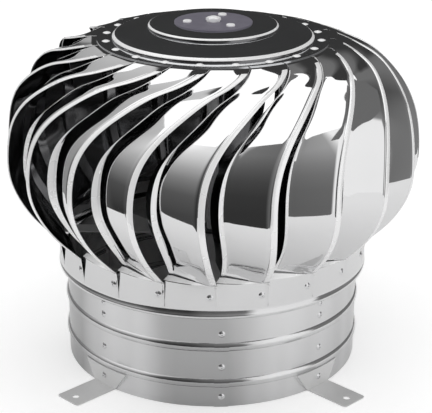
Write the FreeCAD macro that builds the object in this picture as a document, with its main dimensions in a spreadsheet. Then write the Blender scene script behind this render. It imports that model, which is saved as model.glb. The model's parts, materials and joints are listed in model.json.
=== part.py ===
"""Rotating chimney cowl: a wind turbine ventilator on a beaded collar with four feet.

Millimetres and degrees. The axis of the turbine is Z, and the feet stand on Z = 0.
Azimuths are counted from +X towards +Y; the front of the object looks along -Y.
"""
import FreeCAD, Part
import Sketcher
import math
import os

Vector = FreeCAD.Vector
Rotation = FreeCAD.Rotation
Placement = FreeCAD.Placement

doc = FreeCAD.newDocument("ChimneyCowl")
sheet = doc.addObject("Spreadsheet::Sheet", "Sizes")

# Driving sizes: alias, value, meaning
DRIVING_SIZES = (
    ("neck_radius", 150.0, "outside radius of the collar"),
    ("collar_height", 112.0, "height of the collar's top edge, inside the skirt"),
    ("collar_sheet", 0.8, "sheet of the collar"),
    ("lower_bead_height", 25.4, "height of the lower bead's middle"),
    ("upper_bead_height", 63.9, "height of the upper bead's middle"),
    ("bead_width", 9.0, "height that a bead takes up on the collar"),
    ("bead_depth", 2.2, "how far a bead stands out"),
    ("seam_azimuth", -86.3, "azimuth of the lap seam"),
    ("seam_overlap", 14.0, "width of the lap seam"),
    ("foot_width", 30.0, "width of a foot"),
    ("foot_length", 49.0, "how far a foot reaches from the collar"),
    ("foot_sheet", 1.2, "sheet of a foot"),
    ("foot_hole_reach", 38.0, "distance of a fixing hole's middle from the collar"),
    ("foot_hole_radius", 3.5, "radius of a fixing hole"),
    ("foot_corner", 3.0, "corner radius of a foot's tip"),
    ("upstand_height", 20.5, "height of a foot's upstand"),
    ("upstand_top_width", 58.0, "width of the upstand's top edge"),
    ("foot_azimuth", 45.0, "azimuth of the first foot"),
    ("rivet_radius", 1.6, "radius of a rivet's shank"),
    ("rivet_head_radius", 3.3, "radius of a rivet's head"),
    ("rivet_head_height", 1.2, "height of a rivet's head"),
    ("rivet_dimple_radius", 1.0, "radius of the hollow in a rivet's head"),
    ("foot_rivet_height", 11.0, "height of the foot rivets"),
    ("low_rivet_height", 43.0, "height of the frame's lowest rivets"),
    ("middle_rivet_height", 78.0, "height of the frame's middle rivets"),
    ("high_rivet_height", 91.0, "height of the frame's highest rivets"),
    ("frame_width", 25.0, "width of a frame strap"),
    ("frame_sheet", 2.5, "thickness of a frame strap"),
    ("frame_top", 98.0, "height of the lower frame strap's top face"),
    ("frame_leg_end", 35.0, "height at which the frame legs end"),
    ("frame_bend", 5.0, "outside radius of a frame strap's bends"),
    ("shaft_radius", 6.0, "radius of the shaft"),
    ("shaft_thread_radius", 5.0, "radius of the shaft's lower thread"),
    ("shaft_tip_radius", 4.0, "radius of the shaft's upper thread"),
    ("shaft_tail", 16.0, "length of thread below the frame"),
    ("shaft_tip_stand", 1.2, "how far the shaft stands out of the centre nut"),
    ("thread_chamfer", 1.0, "chamfer at the ends of the shaft"),
    ("nut_flats", 17.0, "width across flats of the lower nuts"),
    ("nut_height", 8.0, "height of the shaft's lower nut"),
    ("lock_nut_height", 5.0, "height of the lock nut under it"),
    ("washer_radius", 10.5, "radius of the frame washers"),
    ("washer_sheet", 2.0, "thickness of a frame washer"),
    ("bearing_bore_radius", 5.0, "bore radius of the ball bearing"),
    ("bearing_radius", 15.0, "outside radius of the ball bearing"),
    ("bearing_width", 9.0, "width of the ball bearing"),
    ("inner_ring_radius", 8.0, "outside radius of the inner ring"),
    ("shield_gap", 0.3, "gap between the shields and the inner ring"),
    ("shield_seat", 1.0, "how far outside the bearing's middle the shields are seated"),
    ("bearing_seat_relief", 0.5, "how far the bearing's seat ends below the bearing's top"),
    ("housing_wall", 3.0, "wall of the bearing housing"),
    ("housing_lip", 2.0, "height of the housing's wall below the retaining ring"),
    ("housing_flange_radius", 34.0, "radius of the housing's flange"),
    ("housing_flange", 2.5, "thickness of the housing's flange"),
    ("housing_mouth_radius", 12.5, "radius of the hole over the bearing"),
    ("retainer_sheet", 1.2, "thickness of the retaining ring"),
    ("retainer_depth", 0.8, "depth of the retaining ring's groove"),
    ("retainer_width", 2.6, "radial width of the retaining ring"),
    ("sleeve_radius", 6.6, "outside radius of the spacer sleeve"),
    ("top_nut_flats", 13.0, "width across flats of the centre nut"),
    ("top_nut_height", 3.2, "height of the centre nut"),
    ("plate_radius", 114.9, "radius of the top plate"),
    ("plate_sheet", 0.8, "sheet of the top plate"),
    ("plate_height", 329.2, "height of the underside of the plate's rim"),
    ("rim_width", 13.4, "width of the plate's flat rim"),
    ("lower_step", 4.0, "rise of the plate's outer step"),
    ("lower_step_run", 4.0, "radial run of the plate's outer step"),
    ("cone_rise", 6.0, "rise of the plate between its steps"),
    ("upper_step_radius", 66.0, "radius of the foot of the plate's inner step"),
    ("upper_step", 3.4, "rise of the plate's inner step"),
    ("upper_step_run", 3.0, "radial run of the plate's inner step"),
    ("crown_rise", 1.0, "rise of the plate from the inner step to its flat middle"),
    ("crown_radius", 44.0, "radius of the plate's flat middle"),
    ("plate_bend", 1.2, "radius of the plate's bends"),
    ("cover_radius", 38.5, "radius of the hub cover"),
    ("cover_sheet", 1.2, "thickness of the hub cover"),
    ("cover_hole_radius", 7.4, "radius of the hub cover's hole"),
    ("screw_circle", 26.0, "radius of the circle of the hub screws"),
    ("screw_azimuth", 70.0, "azimuth of the first hub screw"),
    ("screw_radius", 2.5, "radius of a hub screw's shank"),
    ("screw_head_radius", 4.3, "radius of a hub screw's head"),
    ("screw_head_height", 1.8, "height of a hub screw's head"),
    ("vane_count", 20.0, "number of vanes, and of the rivets at each end of them"),
    ("vane_sheet", 0.6, "sheet of a vane"),
    ("ball_radius", 207.9, "radius of the ball of vanes"),
    ("equator_height", 212.0, "height of the ball's widest place"),
    ("shoulder_reach", 45.0, "how far outside the top plate the crown turns into the ball"),
    ("ledge_reach", 4.0, "how far the ball stands outside the tabs at the ledge over them"),
    ("upper_fullness", 2.62, "exponent of the upper half's outline"),
    ("lower_fullness", 1.78, "exponent of the lower half's outline"),
    ("flange_reach", 13.4, "how far a vane's top flange reaches under the plate"),
    ("vane_top_azimuth", -1.7, "azimuth of a vane lip's upper corner, from a multiple of the pitch"),
    ("shoulder_sweep", 15.5, "angle that the lip falls back at the ball's shoulder"),
    ("equator_sweep", 36.2, "angle that the lip falls back at the equator"),
    ("base_sweep", 32.7, "angle that the lip falls back at the base"),
    ("upper_sweep_power", 2.1, "how late the sweep changes towards the shoulder"),
    ("base_sweep_power", 1.6, "how late the sweep changes towards the base"),
    ("crown_power", 1.25, "how late the sweep and the inset start over the crown"),
    ("vane_inset", 16.0, "how far the inner edge of a vane lies inside its lip"),
    ("shoulder_inset", 9.2, "the same at the shoulder"),
    ("base_inset", 9.5, "the same at the base"),
    ("vane_gap", 3.5, "angle between one vane's lip and the next one's inner edge"),
    ("end_gap", 1.5, "the same at the shoulder and the base"),
    ("inset_power", 4.0, "how late the inset and the gap change towards the shoulder and the base"),
    ("lip_width", 6.0, "width of the lip strip"),
    ("turned_width", 6.5, "width of the turned inner edge"),
    ("turned_lift", 4.0, "how far the inner edge is turned outwards"),
    ("crown_drop", 14.0, "how far the ball's shoulder lies below the flange"),
    ("crown_drop_power", 1.2, "how late the crown falls away from the flange"),
    ("flange_flat", 5.0, "how far a vane's flange stays flat beyond the plate's edge"),
    ("lip_stand", 0.3, "how far the lip strip stands out of the ball"),
    ("tab_top", 130.5, "height of a tab's upper right corner"),
    ("ledge_rise", 2.5, "how far above that corner the ball turns into the ledge over the tabs"),
    ("tab_bottom", 106.0, "height of a tab's lower edge"),
    ("tab_rise", 4.0, "how much higher the tab's left corner is"),
    ("tab_slit", 0.25, "angle of the slit between two tabs at their lower ends"),
    ("tab_overlap", 0.3, "angle by which a tab's upper left corner lies under the next tab"),
    ("tab_flap", 2.4, "width of the flap at a tab's right edge"),
    ("tab_lift", 3.2, "how far the flap's upper corner stands out"),
    ("flange_slit", 0.8, "angle of the slit between two vanes under the top plate"),
    ("skirt_reach", 7.0, "how far the skirt ring stands outside the collar"),
    ("skirt_sheet", 0.8, "sheet of the skirt ring"),
    ("skirt_top", 128.0, "height of the skirt ring's upper edge"),
    ("rim_bead_height", 99.5, "height of the rolled rim's middle"),
    ("rim_bead_radius", 3.2, "outside radius of the rolled rim"),
    ("rim_bead_stand", 1.5, "how far the rolled rim stands out of the skirt"),
    ("rim_roll_end", 160.0, "angle at which the rolled rim ends"),
    ("skirt_rivet_height", 119.1, "height of the skirt rivets"),
    ("skirt_rivet_azimuth", -0.61, "azimuth of a skirt rivet"),
    ("top_rivet_inset", 8.4, "distance of the top rivets' middles from the plate's edge"),
    ("top_rivet_azimuth", -6.66, "azimuth of a top rivet"),
    ("top_rivet_head_radius", 4.0, "radius of a top rivet's head"),
    ("cross_arms", 4.0, "number of arms of the guide cross"),
    ("cross_width", 18.0, "width of an arm of the guide cross"),
    ("cross_sheet", 1.5, "sheet of the guide cross"),
    ("cross_height", 124.0, "height of the guide cross's underside"),
    ("cross_tab", 15.0, "height of the tabs at the ends of the arms"),
    ("cross_hub_radius", 24.0, "radius of the guide cross's middle"),
    ("bush_radius", 10.0, "outside radius of the guide bush"),
    ("bush_flange_radius", 14.0, "radius of the guide bush's flange"),
    ("bush_flange", 2.0, "thickness of the guide bush's flange"),
    ("bush_length", 14.0, "length of the guide bush below its flange"),
    ("running_fit", 0.05, "radial clearance of the shaft in the guide bush"),
    ("seat_fit", 0.02, "clearance of pieces that seat in or on each other"),
    ("wrap_fit", 0.05, "clearance of a foot that lies round the collar"),
    ("tab_fit", 0.1, "clearance of the vane tabs round the skirt ring"),
    ("rivet_fit", 0.05, "radial clearance of rivets and screws in their holes"),
    ("lift_gap", 0.3, "gap between turning and fixed pieces"),
)

for row, (alias, value, meaning) in enumerate(DRIVING_SIZES, start=1):
    sheet.set("A%d" % row, alias)
    sheet.set("B%d" % row, "%g" % value)
    sheet.set("C%d" % row, meaning)
    sheet.setAlias("B%d" % row, alias)
doc.recompute()


class Size:
    """A number together with the sheet formula that it comes from."""

    def __init__(self, value, text):
        self.value = float(value)
        self.text = text

    def __add__(self, other):
        other = as_size(other)
        return Size(self.value + other.value, "(%s + %s)" % (self.text, other.text))

    def __radd__(self, other):
        return as_size(other) + self

    def __sub__(self, other):
        other = as_size(other)
        return Size(self.value - other.value, "(%s - %s)" % (self.text, other.text))

    def __rsub__(self, other):
        return as_size(other) - self

    def __mul__(self, other):
        other = as_size(other)
        return Size(self.value * other.value, "(%s * %s)" % (self.text, other.text))

    def __rmul__(self, other):
        return as_size(other) * self

    def __truediv__(self, other):
        other = as_size(other)
        return Size(self.value / other.value, "(%s / %s)" % (self.text, other.text))

    def __rtruediv__(self, other):
        return as_size(other) / self

    def __neg__(self):
        return 0 - self


def as_size(number):
    """Take a Size as it is, and a plain number as a Size."""
    if isinstance(number, Size):
        return number
    return Size(number, "%.9g" % number)


def root(size):
    return Size(math.sqrt(size.value), "sqrt(%s)" % size.text)


def cosine(size):
    size = as_size(size)
    return Size(math.cos(math.radians(size.value)), "cos(%s * 1 deg)" % size.text)


def sine(size):
    size = as_size(size)
    return Size(math.sin(math.radians(size.value)), "sin(%s * 1 deg)" % size.text)


class Sizes:
    """The sheet's cells by name, each as a Size."""

    def __getattr__(self, alias):
        return Size(getattr(sheet, alias), "Sizes.%s" % alias)


S = Sizes()
PITCH = 360 / S.vane_count


# Sketches and features

def bind(feature, path, size):
    """Set a property from the sheet."""
    feature.setExpression(path, as_size(size).text)


def origin_feature(body, role):
    for feature in body.Origin.OriginFeatures:
        if feature.Role == role:
            return feature
    raise ValueError(role)


def new_body(label, azimuth=0.0):
    """A body with its own label, turned about the axis of the turbine."""
    body = doc.addObject("PartDesign::Body", label)
    body.Label = label
    body.AllowCompound = True
    azimuth = as_size(azimuth)
    body.Placement = Placement(Vector(0, 0, 0), Rotation(Vector(0, 0, 1), azimuth.value))
    bind(body, "Placement.Rotation.Angle", azimuth * Size(1, "1 deg"))
    return body


def new_sketch(body, role, azimuth=0.0, height=0.0, reach=0.0):
    """A sketch on an origin plane.

    One on the XZ plane can be turned about Z, raised by height and moved out by reach.
    """
    sketch = body.newObject("Sketcher::SketchObject", "Sketch")
    sketch.AttachmentSupport = [(origin_feature(body, role), "")]
    sketch.MapMode = "FlatFace"
    azimuth = as_size(azimuth)
    height = as_size(height)
    reach = as_size(reach)
    if role == "XZ_Plane":
        turned = Rotation(Vector(0, 1, 0), azimuth.value)
        sketch.AttachmentOffset = Placement(Vector(reach.value, height.value, 0), turned)
        bind(sketch, "AttachmentOffset.Base.x", reach)
        bind(sketch, "AttachmentOffset.Base.y", height)
        if azimuth.value != 0:
            bind(sketch, "AttachmentOffset.Rotation.Angle", azimuth * Size(1, "1 deg"))
    else:
        sketch.AttachmentOffset = Placement(Vector(0, 0, height.value), Rotation())
        bind(sketch, "AttachmentOffset.Base.z", height)
    return sketch


def place_point(sketch, geometry, position, x, y):
    """Tie a point of a sketch to its two coordinates."""
    for kind, axis, size in (("DistanceX", -2, x), ("DistanceY", -1, y)):
        if as_size(size).value == 0:
            sketch.addConstraint(Sketcher.Constraint("PointOnObject", geometry, position, axis))
        else:
            number = sketch.addConstraint(
                Sketcher.Constraint(kind, -1, 1, geometry, position, as_size(size).value))
            bind(sketch, "Constraints[%d]" % number, size)


def arc_between(start, end, radius, turn):
    """The arc from start to end; turn is 1 for counter-clockwise and -1 for clockwise."""
    along = end - start
    half = along.Length / 2
    rise = math.sqrt(max(radius * radius - half * half, 0.0))
    across = Vector(-along.y, along.x, 0).normalize() * (rise * turn)
    centre = start + along / 2 + across
    circle = Part.Circle(centre, Vector(0, 0, 1), radius)
    first, last = (start, end) if turn > 0 else (end, start)
    angle_first = math.atan2(first.y - centre.y, first.x - centre.x)
    angle_last = math.atan2(last.y - centre.y, last.x - centre.x)
    if angle_last < angle_first:
        angle_last += 2 * math.pi
    return Part.ArcOfCircle(circle, angle_first, angle_last)


def outline(sketch, corners):
    """Close an outline through corners (x, y) or (x, y, radius, turn).

    The last two, where given, make the side to the next corner an arc.
    """
    points = [Vector(as_size(corner[0]).value, as_size(corner[1]).value, 0) for corner in corners]
    sides = []
    for number, corner in enumerate(corners):
        start = points[number]
        end = points[(number + 1) % len(points)]
        if len(corner) == 4:
            radius, turn = as_size(corner[2]), corner[3]
            geometry = sketch.addGeometry(arc_between(start, end, radius.value, turn), False)
            bound = sketch.addConstraint(Sketcher.Constraint("Radius", geometry, radius.value))
            bind(sketch, "Constraints[%d]" % bound, radius)
            sides.append((geometry, 1, 2) if turn > 0 else (geometry, 2, 1))
        else:
            geometry = sketch.addGeometry(Part.LineSegment(start, end), False)
            sides.append((geometry, 1, 2))
    for number, corner in enumerate(corners):
        geometry, begin, finish = sides[number]
        following, next_begin, _ = sides[(number + 1) % len(sides)]
        sketch.addConstraint(
            Sketcher.Constraint("Coincident", geometry, finish, following, next_begin))
        place_point(sketch, geometry, begin, corner[0], corner[1])


def disc(sketch, x, y, radius):
    """A circle at (x, y)."""
    centre = Vector(as_size(x).value, as_size(y).value, 0)
    circle = Part.Circle(centre, Vector(0, 0, 1), as_size(radius).value)
    geometry = sketch.addGeometry(circle, False)
    place_point(sketch, geometry, 3, x, y)
    number = sketch.addConstraint(
        Sketcher.Constraint("Radius", geometry, as_size(radius).value))
    bind(sketch, "Constraints[%d]" % number, radius)


def revolve(body, corners, kind="Revolution", about="V_Axis", azimuth=0.0, height=0.0,
            reach=0.0, angle=None):
    """Revolve an outline on the XZ plane, or cut it away where kind is Groove."""
    sketch = new_sketch(body, "XZ_Plane", azimuth, height, reach)
    outline(sketch, corners)
    feature = body.newObject("PartDesign::%s" % kind, kind)
    feature.Profile = sketch
    feature.ReferenceAxis = (sketch, [about])
    if angle is not None:
        feature.Midplane = True
        bind(feature, "Angle", angle)
    doc.recompute()
    return feature


def pad(body, role, draw, length, height=0.0, symmetric=False):
    """Pad what draw puts on a sketch."""
    sketch = new_sketch(body, role, height=height)
    draw(sketch)
    feature = body.newObject("PartDesign::Pad", "Pad")
    feature.Profile = sketch
    feature.Midplane = symmetric
    bind(feature, "Length", length)
    doc.recompute()
    return feature


def cut_through(body, role, draw):
    """Cut what draw puts on a sketch right through, both ways."""
    sketch = new_sketch(body, role)
    draw(sketch)
    feature = body.newObject("PartDesign::Pocket", "Pocket")
    feature.Profile = sketch
    feature.Type = "ThroughAll"
    feature.SideType = "Symmetric"
    doc.recompute()
    return feature


def ring_of(body, features, count):
    """Repeat features round the turbine's axis."""
    pattern = body.newObject("PartDesign::PolarPattern", "PolarPattern")
    pattern.Originals = features
    pattern.Axis = (origin_feature(body, "Z_Axis"), [""])
    pattern.Angle = 360
    pattern.Occurrences = int(round(as_size(count).value))
    bind(pattern, "Occurrences", count)
    body.Tip = pattern
    doc.recompute()
    return pattern


def drill(body, height, azimuth, near, far, count=1):
    """Radial rivet holes through a wall that lies between the radii near and far."""
    radius = S.rivet_radius + S.rivet_fit
    start, end = near - S.rivet_radius, far + S.rivet_radius
    hole = revolve(body, ((start, 0), (end, 0), (end, radius), (start, radius)),
                   "Groove", "H_Axis", azimuth, height)
    if count == 1:
        return hole
    return ring_of(body, [hole], count)


def rivet_outline(seat, grip, head=S.rivet_head_radius):
    """Half of a blind rivet: its head stands on seat, and its shank reaches grip inwards."""
    top = seat + S.rivet_head_height
    dome = (head * head + S.rivet_head_height * S.rivet_head_height) / (2 * S.rivet_head_height)
    dimple = S.rivet_dimple_radius
    rim = seat + S.rivet_head_height - dome + root(dome * dome - dimple * dimple)
    floor = top - S.rivet_head_height / 2
    return ((seat - grip, 0), (floor, 0), (floor, dimple), (rim, dimple, dome, 1),
            (seat, head), (seat, S.rivet_radius), (seat - grip, S.rivet_radius))


def upright(corners):
    """Swap an outline's two coordinates, so that what lay along X stands along Z."""
    swapped = []
    for corner in corners:
        if len(corner) == 4:
            swapped.append((corner[1], corner[0], corner[2], -corner[3]))
        else:
            swapped.append((corner[1], corner[0]))
    return swapped


def rectangle(low_x, low_y, high_x, high_y):
    return ((low_x, low_y), (high_x, low_y), (high_x, high_y), (low_x, high_y))


def hexagon(flats):
    """A nut's outline about the axis."""
    corner = flats / math.sqrt(3)
    return [(corner * cosine(60 * number), corner * sine(60 * number)) for number in range(6)]


# Collar: a rolled sheet with two beads and a lap seam

COLLAR_INSIDE = S.neck_radius - S.collar_sheet
FOOT_COUNT = 4
SEAM_RIVET_HEIGHTS = (S.foot_rivet_height, S.low_rivet_height, S.middle_rivet_height)
FRAME_RIVET_HEIGHTS = (S.low_rivet_height, S.middle_rivet_height, S.high_rivet_height)


def collar_section(inside, outside, bottom, top):
    """Section of the collar's wall between two radii, with its two beads."""
    half = S.bead_width / 2
    bead_arc = (half * half + S.bead_depth * S.bead_depth) / (2 * S.bead_depth)
    section = [(inside, bottom), (outside, bottom)]
    for middle in (S.lower_bead_height, S.upper_bead_height):
        section.append((outside, middle - half, bead_arc, 1))
        section.append((outside, middle + half))
    section.append((outside, top))
    section.append((inside, top))
    for middle in (S.upper_bead_height, S.lower_bead_height):
        section.append((inside, middle + half, bead_arc, -1))
        section.append((inside, middle - half))
    return section


def make_collar():
    body = new_body("collar")
    revolve(body, collar_section(COLLAR_INSIDE, S.neck_radius, 0, S.collar_height))
    lap_angle = S.seam_overlap / S.neck_radius * (180 / math.pi)
    revolve(body, collar_section(S.neck_radius - S.collar_sheet / 2, S.neck_radius + S.collar_sheet,
                                 0, S.collar_height),
            azimuth=S.seam_azimuth, angle=lap_angle)
    for height in SEAM_RIVET_HEIGHTS:
        drill(body, height, S.seam_azimuth, COLLAR_INSIDE, S.neck_radius + S.collar_sheet)
    for height in (S.foot_rivet_height,) + FRAME_RIVET_HEIGHTS:
        drill(body, height, S.foot_azimuth, COLLAR_INSIDE, S.neck_radius, FOOT_COUNT)
    return body


def make_seam_rivets():
    body = new_body("seam_rivets", S.seam_azimuth)
    for height in SEAM_RIVET_HEIGHTS:
        revolve(body, rivet_outline(S.neck_radius + S.collar_sheet, 2 * S.collar_sheet),
                about="H_Axis", height=height)
    return body


# Feet: a strap that lies on the roof, with a fanned upstand against the collar

FOOT_FACE = S.neck_radius + S.wrap_fit
FOOT_TIP = S.neck_radius + S.foot_length


def make_foot(label, number):
    body = new_body(label, S.foot_azimuth + 360 / FOOT_COUNT * number)
    half = S.foot_width / 2
    outside = FOOT_FACE + S.foot_sheet
    upstand_angle = S.upstand_top_width / outside * (180 / math.pi)
    revolve(body, rectangle(FOOT_FACE, 0, outside, S.upstand_height), angle=upstand_angle)

    def slants(sketch):
        far = S.upstand_top_width
        for side in (1, -1):
            outline(sketch, ((side * half, 0), (side * far, 0), (side * far, S.upstand_height),
                             (side * S.upstand_top_width / 2, S.upstand_height)))

    def leg(sketch):
        corner = S.foot_corner
        heel = FOOT_FACE + S.foot_sheet / 2
        start = root(heel * heel - half * half)
        outline(sketch, ((start, -half), (FOOT_TIP - corner, -half, corner, 1),
                         (FOOT_TIP, corner - half), (FOOT_TIP, half - corner, corner, 1),
                         (FOOT_TIP - corner, half), (start, half, heel, -1)))
        disc(sketch, S.neck_radius + S.foot_hole_reach, 0, S.foot_hole_radius)

    cut_through(body, "YZ_Plane", slants)
    drill(body, S.foot_rivet_height, 0, FOOT_FACE, outside)
    pad(body, "XY_Plane", leg, S.foot_sheet)
    return body


def make_foot_rivets():
    body = new_body("foot_rivets", S.foot_azimuth)
    seat = FOOT_FACE + S.foot_sheet
    rivet = revolve(body, rivet_outline(seat, seat - COLLAR_INSIDE), about="H_Axis",
                    height=S.foot_rivet_height)
    ring_of(body, [rivet], FOOT_COUNT)
    return body


# Frame: two straps that cross in the throat and carry the shaft

LEG_FACE = root(COLLAR_INSIDE * COLLAR_INSIDE - S.frame_width * S.frame_width / 4) - S.seat_fit
FRAME_UNDERSIDE = S.frame_top - S.frame_sheet
UPPER_STRAP_TOP = S.frame_top + S.frame_sheet + S.seat_fit


def make_frame_strap(label, azimuth, top):
    """A strap over the throat with a leg down each side of the collar."""
    body = new_body(label, azimuth)
    bend = S.frame_bend
    inner_bend = S.frame_bend - S.frame_sheet
    inside = LEG_FACE - S.frame_sheet

    def strap(sketch):
        outline(sketch, (
            (LEG_FACE, S.frame_leg_end), (LEG_FACE, top - bend, bend, 1),
            (LEG_FACE - bend, top), (bend - LEG_FACE, top, bend, 1),
            (-LEG_FACE, top - bend), (-LEG_FACE, S.frame_leg_end),
            (-inside, S.frame_leg_end), (-inside, top - bend, inner_bend, -1),
            (bend - LEG_FACE, top - S.frame_sheet), (LEG_FACE - bend, top - S.frame_sheet, inner_bend, -1),
            (inside, top - bend), (inside, S.frame_leg_end)))

    pad(body, "XZ_Plane", strap, S.frame_width, symmetric=True)
    cut_through(body, "XY_Plane",
                lambda sketch: disc(sketch, 0, 0, S.shaft_thread_radius + S.seat_fit))
    for height in FRAME_RIVET_HEIGHTS:
        drill(body, height, 0, inside, LEG_FACE, 2)
    return body


def make_frame_rivets():
    body = new_body("frame_rivets", S.foot_azimuth)
    rivets = []
    for height in FRAME_RIVET_HEIGHTS:
        rivets.append(revolve(
            body, rivet_outline(S.neck_radius, S.neck_radius - LEG_FACE + S.frame_sheet),
            about="H_Axis", height=height))
    ring_of(body, rivets, FOOT_COUNT)
    return body


# Shaft and what clamps it to the frame

WASHER_BOTTOM = UPPER_STRAP_TOP + S.seat_fit
LOWER_NUT_TOP = FRAME_UNDERSIDE - S.washer_sheet - 2 * S.seat_fit
SHAFT_SHOULDER = WASHER_BOTTOM + S.washer_sheet + S.seat_fit
PLATE_MIDDLE = (S.plate_height + S.lower_step + S.cone_rise + S.upper_step + S.crown_rise)
HOUSING_TOP = PLATE_MIDDLE - S.seat_fit
BEARING_TOP = HOUSING_TOP - S.housing_flange - S.seat_fit
BEARING_BOTTOM = BEARING_TOP - S.bearing_width
COVER_BOTTOM = PLATE_MIDDLE + S.plate_sheet + S.seat_fit
COVER_TOP = COVER_BOTTOM + S.cover_sheet
SLEEVE_TOP = COVER_TOP + S.lift_gap
SHAFT_TOP = SLEEVE_TOP + S.top_nut_height + S.shaft_tip_stand


def make_shaft():
    """A turned bar: thread below, body, shoulder under the bearing, thread on top."""
    body = new_body("shaft")
    bottom = LOWER_NUT_TOP - S.shaft_tail
    chamfer = S.thread_chamfer
    seat, seat_end = S.bearing_bore_radius - S.seat_fit, BEARING_TOP - S.bearing_seat_relief
    revolve(body, (
        (0, bottom), (S.shaft_thread_radius - chamfer, bottom), (S.shaft_thread_radius, bottom + chamfer),
        (S.shaft_thread_radius, SHAFT_SHOULDER), (S.shaft_radius, SHAFT_SHOULDER),
        (S.shaft_radius, BEARING_BOTTOM), (seat, BEARING_BOTTOM), (seat, seat_end),
        (S.shaft_tip_radius, seat_end), (S.shaft_tip_radius, SHAFT_TOP - chamfer),
        (S.shaft_tip_radius - chamfer, SHAFT_TOP), (0, SHAFT_TOP)))
    return body


def make_washer(label, bottom):
    body = new_body(label)
    revolve(body, rectangle(S.shaft_thread_radius + S.seat_fit, bottom,
                            S.washer_radius, bottom + S.washer_sheet))
    return body


def make_nut(label, bottom, flats, thickness, bore):
    """A hexagon nut with chamfered corners."""
    body = new_body(label)

    def section(sketch):
        outline(sketch, hexagon(flats))
        disc(sketch, 0, 0, bore)

    pad(body, "XY_Plane", section, thickness, height=bottom)
    corner = flats / math.sqrt(3)
    drop = (corner - flats / 2) * math.tan(math.radians(30))
    top = bottom + thickness
    beyond = corner + drop
    revolve(body, ((flats / 2, top), (beyond, top), (beyond, top - drop), (corner, top - drop)),
            "Groove")
    revolve(body, ((flats / 2, bottom), (beyond, bottom), (beyond, bottom + drop),
                   (corner, bottom + drop)), "Groove")
    return body


# Bearing, housing, sleeve

HUB_SCREWS = 3


def make_bearing_inner():
    body = new_body("bearing_inner_ring")
    revolve(body, rectangle(S.bearing_bore_radius, BEARING_BOTTOM, S.inner_ring_radius, BEARING_TOP))
    return body


def make_bearing_outer():
    """The outer ring with its two shields, which close it down to the inner ring."""
    body = new_body("bearing_outer_ring")
    outside = S.bearing_radius - S.seat_fit
    shield_edge = S.inner_ring_radius + S.shield_gap
    shield = S.bearing_width / 9
    race = (S.inner_ring_radius + S.bearing_radius) / 2 + S.shield_seat
    low, high = BEARING_BOTTOM + shield / 2, BEARING_TOP - shield / 2
    revolve(body, (
        (outside, BEARING_BOTTOM), (outside, BEARING_TOP), (race, BEARING_TOP),
        (race, high), (shield_edge, high), (shield_edge, high - shield), (race, high - shield),
        (race, low + shield), (shield_edge, low + shield), (shield_edge, low), (race, low),
        (race, BEARING_BOTTOM)))
    return body


def make_housing():
    """A flanged cup that holds the bearing under the top plate."""
    body = new_body("bearing_housing", S.screw_azimuth)
    outside = S.bearing_radius + S.housing_wall
    flange_bottom = HOUSING_TOP - S.housing_flange
    groove = S.bearing_radius + S.retainer_depth
    groove_top = BEARING_BOTTOM - S.seat_fit
    groove_bottom = groove_top - S.retainer_sheet - 2 * S.seat_fit
    bottom = groove_bottom - S.housing_lip
    revolve(body, (
        (S.housing_mouth_radius, HOUSING_TOP), (S.housing_mouth_radius, flange_bottom),
        (S.bearing_radius, flange_bottom), (S.bearing_radius, groove_top), (groove, groove_top),
        (groove, groove_bottom), (S.bearing_radius, groove_bottom), (S.bearing_radius, bottom),
        (outside, bottom), (outside, flange_bottom), (S.housing_flange_radius, flange_bottom),
        (S.housing_flange_radius, HOUSING_TOP)))
    hole = cut_through(
        body, "XY_Plane",
        lambda sketch: disc(sketch, S.screw_circle, 0, S.screw_radius + S.rivet_fit))
    ring_of(body, [hole], HUB_SCREWS)
    return body


def make_retainer():
    """The ring that keeps the bearing in its housing."""
    body = new_body("bearing_retaining_ring")
    top = BEARING_BOTTOM - 2 * S.seat_fit
    outside = S.bearing_radius + S.retainer_depth - S.seat_fit
    revolve(body, rectangle(outside - S.retainer_width, top - S.retainer_sheet, outside, top))
    return body


def make_sleeve():
    """The spacer that brings the centre nut's clamping down to the inner ring."""
    body = new_body("spacer_sleeve")
    revolve(body, rectangle(S.shaft_tip_radius + S.seat_fit, BEARING_TOP + S.seat_fit,
                            S.sleeve_radius, SLEEVE_TOP))
    return body


# Top plate, hub cover and its screws

TOP_RIVET_CIRCLE = S.plate_radius - S.top_rivet_inset


def make_top_plate():
    body = new_body("top_plate", S.top_rivet_azimuth)
    rim = S.plate_radius - S.rim_width
    shoulder = rim - S.lower_step_run
    inner_foot = S.upper_step_radius
    inner_shoulder = inner_foot - S.upper_step_run
    low = S.plate_height
    levels = (
        (S.crown_radius, PLATE_MIDDLE),
        (inner_shoulder, PLATE_MIDDLE - S.crown_rise),
        (inner_foot, PLATE_MIDDLE - S.crown_rise - S.upper_step),
        (shoulder, low + S.lower_step),
        (rim, low),
        (S.plate_radius, low))
    corners = [(S.housing_mouth_radius, PLATE_MIDDLE)]
    corners.extend(levels)
    corners.extend((radius, level + S.plate_sheet) for radius, level in reversed(levels))
    corners.append((S.housing_mouth_radius, PLATE_MIDDLE + S.plate_sheet))
    stamped = revolve(body, corners)
    round_bends(body, stamped, [radius.value for radius, level in levels[1:-1]], S.plate_bend)
    rivet_hole = cut_through(
        body, "XY_Plane",
        lambda sketch: disc(sketch, TOP_RIVET_CIRCLE, 0, S.rivet_radius + S.rivet_fit))
    ring_of(body, [rivet_hole], S.vane_count)
    angle = S.screw_azimuth - S.top_rivet_azimuth
    x, y = S.screw_circle * cosine(angle), S.screw_circle * sine(angle)
    screw_hole = cut_through(
        body, "XY_Plane", lambda sketch: disc(sketch, x, y, S.screw_radius + S.rivet_fit))
    ring_of(body, [screw_hole], HUB_SCREWS)
    return body


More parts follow.
